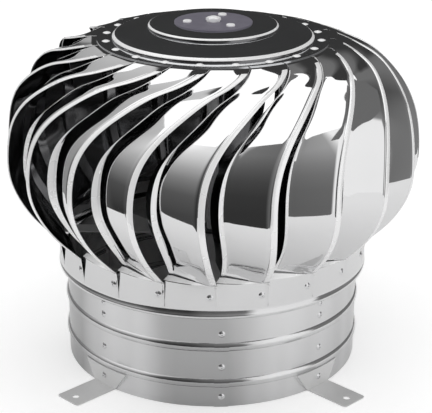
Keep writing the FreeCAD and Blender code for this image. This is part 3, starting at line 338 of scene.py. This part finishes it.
def object_noise(tree, scale, detail=2.0, stretch=(1, 1, 1)):
    """Noise in the object's own coordinates, stretched along its axes."""
    coordinates = node(tree, "ShaderNodeTexCoord")
    mapping = node(tree, "ShaderNodeMapping")
    mapping.inputs["Scale"].default_value = stretch
    noise = node(tree, "ShaderNodeTexNoise", Scale=scale, Detail=detail)
    tree.links.new(coordinates.outputs["Object"], mapping.inputs["Vector"])
    tree.links.new(mapping.outputs["Vector"], noise.inputs["Vector"])
    return noise.outputs["Fac"]


def ramp(tree, source, stops):
    made = node(tree, "ShaderNodeValToRGB")
    elements = made.color_ramp.elements
    while len(elements) < len(stops):
        elements.new(0.5)
    for element, (position, value) in zip(elements, stops):
        element.position = position
        colour = value if isinstance(value, tuple) else (value, value, value)
        element.color = colour + (1,)
    tree.links.new(source, made.inputs["Fac"])
    return made.outputs["Color"]


def add_bump(tree, shader, height, strength, distance):
    bump = node(tree, "ShaderNodeBump", Strength=strength, Distance=distance)
    tree.links.new(height, bump.inputs["Height"])
    tree.links.new(bump.outputs["Normal"], shader.inputs["Normal"])


# Finishes

POLISH = 0.88
UPRIGHT = (9.0, (1, 1, 0.1))
TINT_FROM, TINT_TO, TINT_DETAIL = 0.3, 0.7, 3.0
SMUDGE_FROM, SMUDGE_TO, SMUDGE_NOISE = 0.25, 0.75, (34.0, 4.0)
WAVE_DETAIL = 1.5
MATT_ROUGHNESS, MATT_BUMP = 0.5, 0.1


def painted_reflection_bands(tree, tint, count, azimuth, depth):
    """Tint with lighter and darker bands round the axis, a painted reflection, its first light band
    at the given azimuth.
    """
    x, y = axes(tree, "Object")[:2]
    from_first = calculate(tree, "SUBTRACT", calculate(tree, "ARCTAN2", y, x), math.radians(azimuth))
    wave = calculate(tree, "COSINE", calculate(tree, "MULTIPLY", from_first, count))
    return calculate(tree, "ADD", tint, calculate(tree, "MULTIPLY", wave, depth))


def steel(name, colour, spread, roughness, wave=(7.0, 0.12, 0.0012), grain=None, metallic=1.0,
          streaks=(11.0, (1, 1, 1)), reflection_bands=None):
    """A metal whose colour and roughness vary a little, with a faint waviness in its sheet.

    The wave is its noise's scale and its bump's strength and distance. A grain is another noise
    for that bump: scale, detail and stretch. Streaks are scale and stretch of the tint's noise.
    """
    material, tree, shader = new_material(name)
    shader.inputs["Metallic"].default_value = metallic
    tint = object_noise(tree, streaks[0], TINT_DETAIL, streaks[1])
    # Painted reflection: lighter and darker bands round the axis, added to the tint
    if reflection_bands:
        tint = painted_reflection_bands(tree, tint, *reflection_bands)
    low = tuple(c * (1 - spread) for c in colour)
    high = tuple(min(1.0, c * (1 + spread)) for c in colour)
    tree.links.new(ramp(tree, tint, ((TINT_FROM, low), (TINT_TO, high))),
                   shader.inputs["Base Color"])
    smudge = object_noise(tree, *SMUDGE_NOISE)
    tree.links.new(ramp(tree, smudge, ((SMUDGE_FROM, roughness[0]), (SMUDGE_TO, roughness[1]))),
                   shader.inputs["Roughness"])
    scale, strength, distance = wave
    relief = object_noise(tree, *grain) if grain else object_noise(tree, scale, WAVE_DETAIL)
    add_bump(tree, shader, relief, strength, distance)
    return material


def matt(name, tint, low, high, metallic, relief):
    """A dull finish: scale and detail of its tint's noise, and scale and distance of its relief."""
    material, tree, shader = new_material(name)
    tree.links.new(ramp(tree, object_noise(tree, *tint), ((TINT_FROM, low), (TINT_TO, high))),
                   shader.inputs["Base Color"])
    shader.inputs["Metallic"].default_value = metallic
    shader.inputs["Roughness"].default_value = MATT_ROUGHNESS
    add_bump(tree, shader, object_noise(tree, relief[0]), MATT_BUMP, relief[1])
    return material


MATERIALS = {
    "vane_steel": steel("polished_steel", (POLISH, POLISH, 0.885), 0.02, (0.02, 0.05),
                        wave=(7.0, 0.05, 0.0012)),
    # Dark steel, a painted shade: the vanes' inner skin, their return and the crease over the ledge,
    # and the plate's corners
    "vane_inside": steel("inner_steel_painted_shade", (0.2, 0.2, 0.205), 0.06, (0.08, 0.16)),
    # Pale, nearly dull steel, a painted highlight: lips, turned edges, ledge, cut edges and the
    # plate's steps
    "vane_edge": steel("painted_highlight_steel", (0.97, 0.97, 0.972), 0.015, (0.22, 0.32), metallic=0.25),
    "skirt_steel": steel("skirt_steel", (0.79, 0.79, 0.795), 0.05, (0.07, 0.12), streaks=UPRIGHT),
    "plate_steel": steel("plate_steel", (0.80, 0.81, 0.83), 0.03, (0.05, 0.1),
                         wave=(9.0, 0.1, 0.001)),
    # The collar's tint has painted reflection bands round the axis, darkest at the front
    "collar_steel": steel("brushed_collar", (0.7, 0.7, 0.705), 0.3, (0.08, 0.14),
                          wave=(1.0, 0.15, 0.0002), grain=(60.0, 4.0, (1, 1, 30)),
                          streaks=UPRIGHT, reflection_bands=(5, -127, 0.14)),
    "strap_steel": steel("strap_steel", (0.72, 0.72, 0.72), 0.05, (0.38, 0.5),
                         wave=(90.0, 0.15, 0.0003), metallic=0.4),
    "rivet_metal": steel("rivet_metal", (0.95, 0.95, 0.955), 0.02, (0.3, 0.4),
                         wave=(120.0, 0.1, 0.0002), metallic=0.15),
    "polished_rivet": steel("polished_rivet", (0.8, 0.8, 0.81), 0.03, (0.06, 0.1),
                            wave=(120.0, 0.1, 0.0002)),
    "housing_metal": steel("housing_metal", (0.6, 0.6, 0.6), 0.05, (0.4, 0.5),
                           wave=(150.0, 0.2, 0.0003)),
    "fixing_steel": steel("fixing_steel", (0.94, 0.94, 0.95), 0.02, (0.3, 0.4),
                          wave=(150.0, 0.1, 0.0002), metallic=0.15),
    "cover_metal": matt("cover_metal", (90.0, 4.0), (0.15, 0.14, 0.18), (0.18, 0.17, 0.21), 0.2,
                        (500.0, 0.0001)),
    "bush_plastic": matt("bush_plastic", (60.0, 2.0), (0.05, 0.05, 0.055), (0.07, 0.07, 0.075), 0.0,
                         (400.0, 0.0002)),
}

# The CAD's nodes take the finish of their slot. Of the rivets only the top ones are dull and pale.
for part in frame["record"]["subparts"]:
    cad = frame["nodes"][part["node"]]
    cad.data.materials.clear()
    finish = part["material_slot"]
    if finish == "rivet_metal" and part["node"] != "top_rivets":
        finish = "polished_rivet"
    cad.data.materials.append(MATERIALS[finish])


MILLIMETRES_PER_METRE = 1000
SHARP_ANGLE = 50


def sheet_piece(name, points, faces, kinds, finishes):
    """A smooth sheet on the turbine. The kinds give each face's place in the finishes."""
    mesh = bpy.data.meshes.new(name)
    mesh.from_pydata((np.array(points) / MILLIMETRES_PER_METRE).tolist(), [], faces)
    mesh.polygons.foreach_set("use_smooth", [True] * len(faces))
    mesh.polygons.foreach_set("material_index", kinds)
    mesh.update()
    mesh.set_sharp_from_angle(angle=math.radians(SHARP_ANGLE))
    piece = bpy.data.objects.new(name, mesh)
    bpy.context.scene.collection.objects.link(piece)
    for finish in finishes:
        piece.data.materials.append(MATERIALS[finish])
    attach(piece, "turbine")
    return piece


# Vanes

VANE_FINISHES = ("vane_steel", "vane_inside", "vane_edge", "skirt_steel")
FACE, PAINTED_SHADE, HIGHLIGHT, TAB = range(len(VANE_FINISHES))
# Shares down the vane between which the painted shade and painted highlight strips run
STRIPS_FROM, STRIPS_TO = 0.14, 0.98
DENTS, DENT_DEPTH, DENT_SEED = 5, 0.12, 11
DENT_DOWN, DENT_ACROSS = (0.2, 0.9), (0.15, 0.8)
DENT_HEIGHT, DENT_WIDTH = (0.03, 0.08), (0.1, 0.25)
DENTS_FADE = (0.9, 0.98)

grid, across, down = vane_grid()
grid = np.concatenate((grid, tab_rows(grid[-1])))
normals = skin_normals(grid)
along = np.concatenate((down, np.ones(len(grid) - len(down))))


def kind_of(row, column):
    """Finish of a face of the outer skin: painted shade in the crease over the ledge and on the
    return, painted highlight on the ledge and the pale strips, the tab's, or bare.
    """
    crease_row = len(down) - 1
    # The crease over the ledge is painted shade
    if row == crease_row:
        return PAINTED_SHADE
    # The ledge rows are painted highlight
    if crease_row < row < crease_row + 1 + len(LEDGE_SHARES):
        return HIGHLIGHT
    if row > crease_row:
        return TAB
    if not STRIPS_FROM < along[row] < STRIPS_TO:
        return FACE
    # The return under the neighbour's lip is painted shade
    if column < len(RETURN_SHARES):
        return PAINTED_SHADE
    # The turned edge and the lip strip are painted highlight
    on_lip = column >= grid.shape[1] - 1 - len(LIP_SECTION)
    return HIGHLIGHT if column < LEFT_COLUMNS or on_lip else FACE


def skin_faces():
    """Faces of the outer and inner skin and of the cut edges between them, with their kinds."""
    rows, cols = grid.shape[:2]

    def at(r, c, side):
        return (side * rows + r) * cols + c

    faces, kinds = [], []
    # The inner skin is all dark steel, a painted shade
    for r in range(rows - 1):
        for c in range(cols - 1):
            faces.append((at(r, c, 0), at(r + 1, c, 0), at(r + 1, c + 1, 0), at(r, c + 1, 0)))
            faces.append((at(r, c, 1), at(r, c + 1, 1), at(r + 1, c + 1, 1), at(r + 1, c, 1)))
            kinds += [kind_of(r, c), PAINTED_SHADE]
    r_end, c_end = rows - 1, cols - 1
    # The cut edges of the sheet are painted highlight
    for r in range(r_end):
        faces.append((at(r, 0, 0), at(r, 0, 1), at(r + 1, 0, 1), at(r + 1, 0, 0)))
        faces.append((at(r, c_end, 0), at(r + 1, c_end, 0), at(r + 1, c_end, 1), at(r, c_end, 1)))
        kinds += [HIGHLIGHT, HIGHLIGHT]
    for c in range(c_end):
        faces.append((at(0, c, 0), at(0, c + 1, 0), at(0, c + 1, 1), at(0, c, 1)))
        faces.append((at(r_end, c, 0), at(r_end, c, 1), at(r_end, c + 1, 1), at(r_end, c + 1, 0)))
        kinds += [HIGHLIGHT, HIGHLIGHT]
    return faces, kinds


def dented_skin(random):
    """Both skins of a vane with shallow dents of its own."""
    dents = np.zeros(grid.shape[:2])
    for count in range(DENTS):
        place = random.uniform(*DENT_DOWN), random.uniform(*DENT_ACROSS)
        spread = random.uniform(*DENT_HEIGHT), random.uniform(*DENT_WIDTH)
        depth = random.uniform(-DENT_DEPTH, DENT_DEPTH)
        dents += depth * np.exp(-((along[:, None] - place[0]) / spread[0]) ** 2
                                - ((across[None, :] - place[1]) / spread[1]) ** 2)
    dents *= (1 - smooth(*DENTS_FADE, along))[:, None]
    outer = grid + normals * dents[..., None]
    inner = outer - normals * SHEET
    return np.concatenate((outer.reshape(-1, 3), inner.reshape(-1, 3)))


def build_vanes():
    random = np.random.default_rng(DENT_SEED)
    faces, kinds = skin_faces()
    for number in range(VANES):
        turn = np.array(Matrix.Rotation(math.radians(TOP_AZIMUTH + PITCH * number), 3, "Z"))
        points = dented_skin(random) @ turn.T
        name = "vane_%02d" % (number + 1)
        piece = sheet_piece(name + "_sheet", points, faces, kinds, VANE_FINISHES)
        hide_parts(name)


build_vanes()


# Top plate and skirt ring, lathed with the rounded bends of pressed and rolled sheet. Lines and
# outlines are lists of (radius, height).

LATHE_STEPS = 320
BEND_POINTS, BEND_LIMIT = 5, 0.45

# Upper side of the plate: from its mouth over the crown to the upper step's foot, and from there
# down the cone and the lower step to the flat rim
PLATE_SHEET, RIM_TOP = 0.8, 330.0
CROWN_BEND, CONE_BEND = 0.5, 0.6
CROWN = [(12.5, 344.4), (44.0, 344.4), (61.5, 343.48), (63.0, 343.4), (64.3, 342.1), (64.6, 340.0)]
CONE = [(64.6, 340.0), (66.0, 339.75), (96.0, 334.27), (97.5, 334.0), (99.6, 331.9),
        (100.0, RIM_TOP)]
RIM = [(101.5, RIM_TOP), (PLATE_RADIUS, RIM_TOP)]
# Radii between which the steps are pale, a painted highlight, and dark, a painted shade in the
# corners
HIGHLIGHT_STEPS, SHADED_CORNERS = ((62.8, 64.3), (97.3, 99.6)), ((64.3, 64.6), (99.6, 100.0))
PLATE_FINISHES = ("plate_steel", "vane_edge", "vane_inside")
PLAIN, PLATE_HIGHLIGHT, PLATE_SHADE = range(len(PLATE_FINISHES))

# The skirt's wall, how far out and above the roll's middle it bends, and its rolled rim
SKIRT_OUTSIDE, SKIRT_SHEET, SKIRT_TOP = 157.0, 0.8, 128.0
WALL_BEND = ((0, 6.5), (0.05, 4.7), (0.35, 3.4))
ROLL, ROLL_HEIGHT, ROLL_STAND = 3.2, 99.5, 1.5
ROLL_START, ROLL_END, OUTER_POINTS, INNER_POINTS = 40, -200, 28, 20


def arc(centre, radius, start, end, count):
    angles = np.radians(np.linspace(start, end, count))
    return [(centre[0] + radius * math.cos(a), centre[1] + radius * math.sin(a)) for a in angles]


def rounded(corners, bend):
    """An open line whose inner corners are rounded."""
    made = [corners[0]]
    for before, corner, after in zip(corners, corners[1:], corners[2:]):
        before, corner, after = (np.array(p, float) for p in (before, corner, after))
        back, ahead = before - corner, after - corner
        back_length, ahead_length = np.linalg.norm(back), np.linalg.norm(ahead)
        cut = min(bend, BEND_LIMIT * back_length, BEND_LIMIT * ahead_length)
        start, end = corner + back / back_length * cut, corner + ahead / ahead_length * cut
        for t in np.linspace(0, 1, BEND_POINTS):
            made.append(tuple((1 - t) ** 2 * start + 2 * t * (1 - t) * corner + t * t * end))
    return made + [corners[-1]]


def lathe(name, outline, kinds, finishes):
    """A closed outline turned about the axis. The kinds give each side's finish."""
    count = len(outline)
    angles = np.linspace(0, 2 * math.pi, LATHE_STEPS, endpoint=False)
    points = [(r * math.cos(a), r * math.sin(a), h) for a in angles for r, h in outline]
    faces = []
    for s in range(LATHE_STEPS):
        here, there = s * count, (s + 1) % LATHE_STEPS * count
        for i in range(count):
            j = (i + 1) % count
            faces.append((here + i, here + j, there + j, there + i))
    return sheet_piece(name, points, faces, kinds * LATHE_STEPS, finishes)


def build_top_plate():
    line = rounded(CROWN, CROWN_BEND) + rounded(CONE, CONE_BEND)[1:] + RIM
    outline = line + [(radius, height - PLATE_SHEET) for radius, height in reversed(line)]
    kinds = [PLAIN] * len(outline)
    # Pale steps are painted highlight, dark corners painted shade
    for i, (before, after) in enumerate(zip(line, line[1:])):
        middle = (before[0] + after[0]) / 2
        if any(low < middle < high for low, high in HIGHLIGHT_STEPS):
            kinds[i] = PLATE_HIGHLIGHT
        elif any(low <= middle < high for low, high in SHADED_CORNERS):
            kinds[i] = PLATE_SHADE
    plate = lathe("top_plate_pressed", outline, kinds, PLATE_FINISHES)
    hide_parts("top_plate")


def build_skirt_ring():
    """The rolled ring, whose wall runs softly into its rolled rim."""
    inside, inner_roll = SKIRT_OUTSIDE - SKIRT_SHEET, ROLL - SKIRT_SHEET
    middle = (SKIRT_OUTSIDE + ROLL_STAND - ROLL, ROLL_HEIGHT)
    inner_join = math.degrees(math.acos((inside - middle[0]) / inner_roll))
    outline = [(SKIRT_OUTSIDE, SKIRT_TOP)]
    outline += [(SKIRT_OUTSIDE + out, ROLL_HEIGHT + rise) for out, rise in WALL_BEND]
    outline += arc(middle, ROLL, ROLL_START, ROLL_END, OUTER_POINTS)
    outline += arc(middle, inner_roll, ROLL_END, inner_join, INNER_POINTS)
    outline += [(inside, SKIRT_TOP)]
    skirt = lathe("skirt_ring_rolled", outline, [0] * len(outline), ("skirt_steel",))
    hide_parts("skirt_ring")


build_top_plate()
build_skirt_ring()


# Floor: a pale sheet, lifted a little for the camera. In gloss it ends where a table does, and the
# studio's walls show beyond it.

FLOOR_RADIUS, FLOOR_SIDES, FLOOR_LIFT = 2.5, 96, 0.3
TABLE_LEFT, TABLE_RIGHT, TABLE_FRONT, TABLE_LEAN = 0.6, 0.65, 0.47, 0.2


def pale_floor():
    material, tree, shader = new_material("pale_floor")
    tree.links.new(ramp(tree, object_noise(tree, 3.0), ((0.3, 0.86), (0.7, 0.88))),
                   shader.inputs["Base Color"])
    shader.inputs["Roughness"].default_value = 0.8
    shader.inputs["Specular IOR Level"].default_value = 0.0
    path = node(tree, "ShaderNodeLightPath")
    lift = node(tree, "ShaderNodeEmission", Strength=FLOOR_LIFT)
    lifted = node(tree, "ShaderNodeAddShader")
    tree.links.new(shader.outputs[0], lifted.inputs[0])
    tree.links.new(lift.outputs[0], lifted.inputs[1])

    def mix_shaders(share, first, second):
        made = node(tree, "ShaderNodeMixShader")
        for socket, item in zip(made.inputs, (share, first, second)):
            tree.links.new(item, socket)
        return made.outputs[0]

    bright = mix_shaders(path.outputs["Is Camera Ray"], shader.outputs[0], lifted.outputs[0])
    x, y = axes(tree, "Object")[:2]
    sides = calculate(tree, "MAXIMUM", calculate(tree, "GREATER_THAN", x, TABLE_RIGHT),
                      calculate(tree, "LESS_THAN", x, -TABLE_LEFT))
    leaning = calculate(tree, "MULTIPLY_ADD", x, TABLE_LEAN, y)
    outside = calculate(tree, "MAXIMUM", sides, calculate(tree, "LESS_THAN", leaning, -TABLE_FRONT))
    beyond = calculate(tree, "MULTIPLY", outside, path.outputs["Is Glossy Ray"])
    clear = node(tree, "ShaderNodeBsdfTransparent")
    surface = mix_shaders(beyond, bright, clear.outputs[0])
    tree.links.new(surface, tree.nodes["Material Output"].inputs["Surface"])
    return material


bpy.ops.mesh.primitive_circle_add(vertices=FLOOR_SIDES, radius=FLOOR_RADIUS, fill_type="NGON",
                                  location=(0, 0, 0))
floor = bpy.context.object
floor.name = "floor"
floor.data.materials.append(pale_floor())


# World: white to the camera, a plain level for soft light, and a studio with dark screens in gloss

DIFFUSE_LEVEL, CAMERA_LEVEL, CEILING_LEVEL, PANEL_LEVEL = 0.95, 1.0, 1.02, 0.4
CEILING_FROM, CEILING_LEAN = 0.86, (-0.154, 0.184)
PANEL_RIGHT, PANEL_FROM = 0.25, 0.83

# Display levels by azimuth, near the floor and near the ceiling: pale on the left and behind, dark
# in front and far behind, and a bright screen on the right
LOW_WALL = ((-180, 0.21), (-165, 0.25), (-144, 0.26), (-130, 0.19), (-106, 0.19), (-96, 0.34),
            (-66, 0.38), (-58, 0.9), (-12, 0.9), (-8, 0.42), (6, 0.45), (20, 0.5), (60, 0.42),
            (70, 0.2), (101, 0.2), (103, 0.58), (128, 0.56), (150, 0.5), (160, 0.34), (170, 0.19))
HIGH_WALL = ((-180, 0.95), (-165, 0.88), (-144, 0.85), (-130, 0.44), (-106, 0.4), (-96, 0.5),
             (-66, 0.6), (-58, 0.92), (-12, 0.9), (-8, 0.5), (6, 0.38), (30, 0.28), (50, 0.42),
             (66, 0.42), (72, 0.21), (101, 0.21), (103, 0.8), (128, 0.72), (150, 0.74), (165, 0.93))
# Share of the high wall by elevation
RISING = ((-20, 0.0), (-5, 0.05), (10, 0.22), (25, 0.48), (40, 0.82), (48, 1.0))


def level(display):
    """Light that a polished vane shows at this level of the display, by the curve of sRGB."""
    return ((display + 0.055) / 1.055) ** 2.4 / POLISH


def build_world():
    world = bpy.data.worlds.new("studio")
    bpy.context.scene.world = world
    world.use_nodes = True
    tree = world.node_tree
    tree.nodes.clear()
    x, y, z = axes(tree, "Generated")

    def value(operation, *items):
        return calculate(tree, operation, *items)

    def blend(low, high, share):
        made = node(tree, "ShaderNodeMix", data_type="FLOAT")
        for socket, item in ((0, share), (2, low), (3, high)):
            feed(tree, made.inputs[socket], item)
        return made.outputs[0]

    turn = value("ADD", value("DIVIDE", value("ARCTAN2", y, x), 2 * math.pi), 0.5)
    rise = value("ADD", value("DIVIDE", value("ARCSINE", z), math.pi), 0.5)
    low_wall, high_wall = (ramp(tree, turn, [((az + 180) / 360, level(v)) for az, v in stops])
                           for stops in (LOW_WALL, HIGH_WALL))
    rising = ramp(tree, rise, [((el + 90) / 180, share) for el, share in RISING])
    wall = blend(low_wall, high_wall, rising)
    lean = value("ADD", value("MULTIPLY", x, CEILING_LEAN[0]), value("MULTIPLY", y, CEILING_LEAN[1]))
    ceiling = value("GREATER_THAN", value("ADD", z, lean), CEILING_FROM)
    # A dark panel hangs high on the right
    panel = value("MULTIPLY", value("GREATER_THAN", x, PANEL_RIGHT),
                  value("GREATER_THAN", z, PANEL_FROM))
    studio = blend(blend(wall, level(CEILING_LEVEL), ceiling), level(PANEL_LEVEL), panel)
    path = node(tree, "ShaderNodeLightPath")
    gloss = value("MAXIMUM", path.outputs["Is Glossy Ray"], path.outputs["Is Transmission Ray"])
    plain = blend(DIFFUSE_LEVEL, CAMERA_LEVEL, path.outputs["Is Camera Ray"])
    background = node(tree, "ShaderNodeBackground")
    background.inputs["Color"].default_value = (1, 1, 1, 1)
    tree.links.new(blend(plain, studio, gloss), background.inputs["Strength"])
    output = node(tree, "ShaderNodeOutputWorld")
    tree.links.new(background.outputs[0], output.inputs["Surface"])


build_world()


# Camera, at the photograph's viewing angle

FOCAL_LENGTH, SENSOR = 118.69, 36.0
CAMERA_PLACE = (0, -1.3703, 0.6782)
CAMERA_YAW, CAMERA_DOWN, CAMERA_ROLL = 0.158, 21.07, 0.386


def build_camera():
    data = bpy.data.cameras.new("camera")
    camera = bpy.data.objects.new("camera", data)
    bpy.context.scene.collection.objects.link(camera)
    data.sensor_width = SENSOR
    data.lens = FOCAL_LENGTH
    data.clip_start, data.clip_end = 0.05, 50
    yaw, pitch, roll = (math.radians(angle) for angle in (CAMERA_YAW, CAMERA_DOWN, CAMERA_ROLL))
    ahead = Vector((math.sin(yaw) * math.cos(pitch), math.cos(yaw) * math.cos(pitch),
                    -math.sin(pitch)))
    sideways = Vector((math.cos(yaw), -math.sin(yaw), 0))
    up = sideways.cross(ahead)
    right = sideways * math.cos(roll) + up * math.sin(roll)
    top = up * math.cos(roll) - sideways * math.sin(roll)
    matrix = Matrix.Identity(4)
    for column, axis in enumerate((right, top, -ahead, Vector(CAMERA_PLACE))):
        for line in range(3):
            matrix[line][column] = axis[line]
    camera.matrix_world = matrix
    bpy.context.scene.camera = camera


build_camera()
bpy.context.scene.view_settings.view_transform = "Standard"
